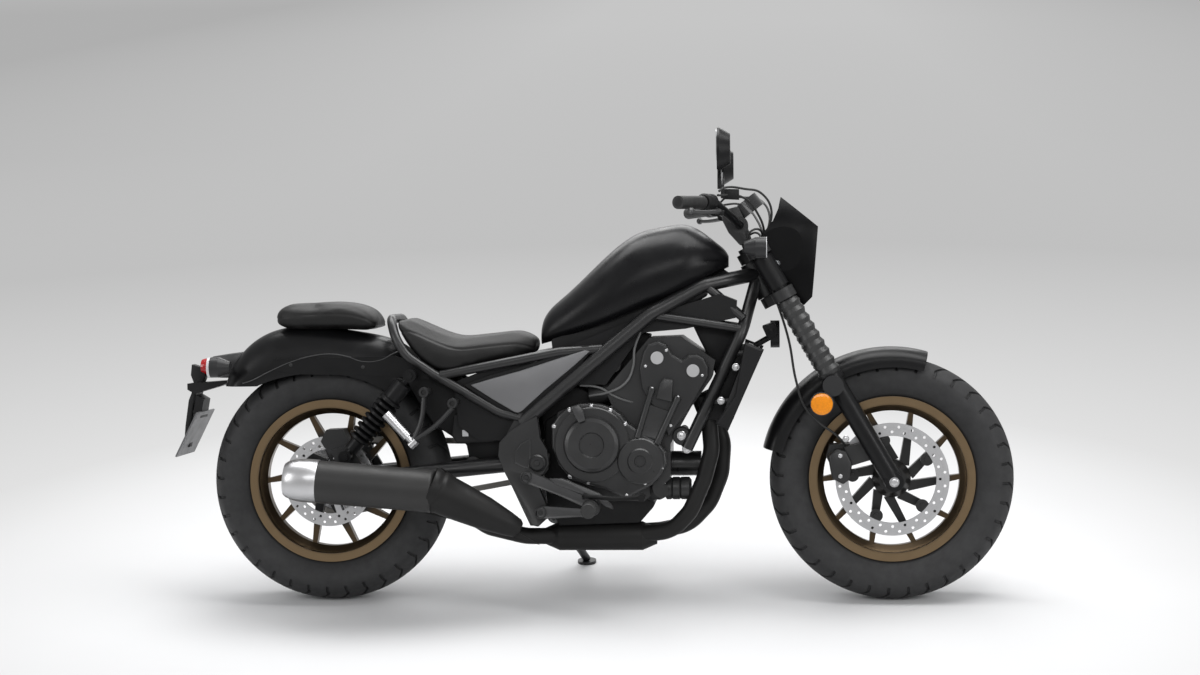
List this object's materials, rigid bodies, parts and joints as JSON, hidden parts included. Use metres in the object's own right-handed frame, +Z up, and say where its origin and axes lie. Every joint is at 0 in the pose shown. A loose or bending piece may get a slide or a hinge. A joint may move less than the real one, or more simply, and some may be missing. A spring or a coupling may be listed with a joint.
{
  "type": "cruiser motorcycle",
  "caption": "Low cruiser motorcycle with a teardrop tank, cast wheels, raised bars and a single silencer, leaning on its side stand.",
  "frame": {"origin": "on the road, under the middle of the overall box of the parked machine", "axes": "+X forward, +Y to the machine's left, +Z up; the machine leans 10 degrees to its left on the side stand"},
  "size_m": [2.2211, 0.8485, 1.2711],
  "materials": {
    "tyre": "matte rubber",
    "rim": "satin black",
    "disc": "brushed",
    "steel": "zinc plated",
    "chain": "oiled",
    "frame_black": "satin black",
    "tank_black": "matt metallic black",
    "engine_black": "black crinkle",
    "plastic": "matt",
    "rubber": "matt",
    "seat": "grained vinyl",
    "exhaust_black": "heat-proof matt",
    "lens_red": "clear red",
    "lens_amber": "amber",
    "lamp_glass": "clear",
    "mirror": "mirror",
    "plate_white": "blank",
    "dial": "gloss"
  },
  "bodies": {
    "chassis": {"steering_head": "frame_black", "frame_left": "frame_black", "frame_right": "frame_black", "seat_frame": "frame_black", "swingarm": "frame_black", "rear_axle": "steel", "chain": "chain", "crankcase": "engine_black", "cylinder_block": "engine_black", "engine_covers": "engine_black", "head_covers": "engine_black", "air_box": "plastic", "electrics_tray": "plastic", "side_panels": "plastic", "fuel_tank": "tank_black", "rider_seat": "seat", "pillion_seat": "seat", "rear_fender": "frame_black", "radiator": "engine_black", "radiator_guards": "plastic", "horn": "plastic", "exhaust_pipes": "exhaust_black", "muffler": "exhaust_black", "rear_shocks": "frame_black", "fender_rails": "frame_black", "tail_light": "lens_red", "plate_bracket": "frame_black", "number_plate": "plate_white", "rear_indicators": "lens_amber", "rear_caliper": "frame_black", "footrests": "frame_black", "foot_levers": "frame_black", "pillion_brackets": "frame_black"},
    "fork": {"triple_clamps": "frame_black", "fork_tubes": "steel", "fork_sliders": "frame_black", "fork_gaiters": "rubber", "front_axle": "steel", "front_fender": "frame_black", "front_caliper": "frame_black", "handlebar": "frame_black", "grips": "rubber", "switchgear": "plastic", "mirrors": "mirror", "gauge": "dial", "headlight": "lamp_glass", "cowl": "plastic", "front_signals": "lens_amber", "control_cables": "rubber"},
    "front_wheel": {"front_tyre": "tyre", "front_wheel": "rim", "front_disc": "disc"},
    "rear_wheel": {"rear_tyre": "tyre", "rear_wheel": "rim", "rear_disc": "disc", "rear_sprocket": "steel"},
    "side_stand": {"side_stand": "frame_black"},
    "pillion_peg_left": {"pillion_peg_left": "frame_black"},
    "pillion_peg_right": {"pillion_peg_right": "frame_black"}
  },
  "joints": [
    {"name": "steering", "type": "hinge", "parent": "chassis", "child": "fork", "pos_m": [0.47297, -0.05421, 0.79394], "axis": [-0.4695, 0.1533, 0.8695], "range_deg": [-35, 35]},
    {"name": "front_wheel_spin", "type": "hinge", "parent": "fork", "child": "front_wheel", "pos_m": [0.791, -0.13843, 0.31631], "axis": [0, 0.9848, -0.1736], "continuous": true},
    {"name": "rear_wheel_spin", "type": "hinge", "parent": "chassis", "child": "rear_wheel", "pos_m": [-0.699, -0.13814, 0.31798], "axis": [0, 0.9848, -0.1736], "continuous": true},
    {"name": "side_stand_fold", "type": "hinge", "parent": "chassis", "child": "side_stand", "pos_m": [-0.11492, -0.00509, 0.18006], "axis": [0.1695, 0.7754, 0.6083], "range_deg": [0, 107.8]},
    {"name": "pillion_peg_left_fold", "type": "hinge", "parent": "chassis", "child": "pillion_peg_left", "pos_m": [-0.44898, 0.08231, 0.39111], "axis": [-0.7369, -0.1174, -0.6657], "range_deg": [0, 90]},
    {"name": "pillion_peg_right_fold", "type": "hinge", "parent": "chassis", "child": "pillion_peg_right", "pos_m": [-0.44898, -0.32028, 0.4621], "axis": [0.7369, 0.1174, 0.6657], "range_deg": [0, 90]}
  ]
}
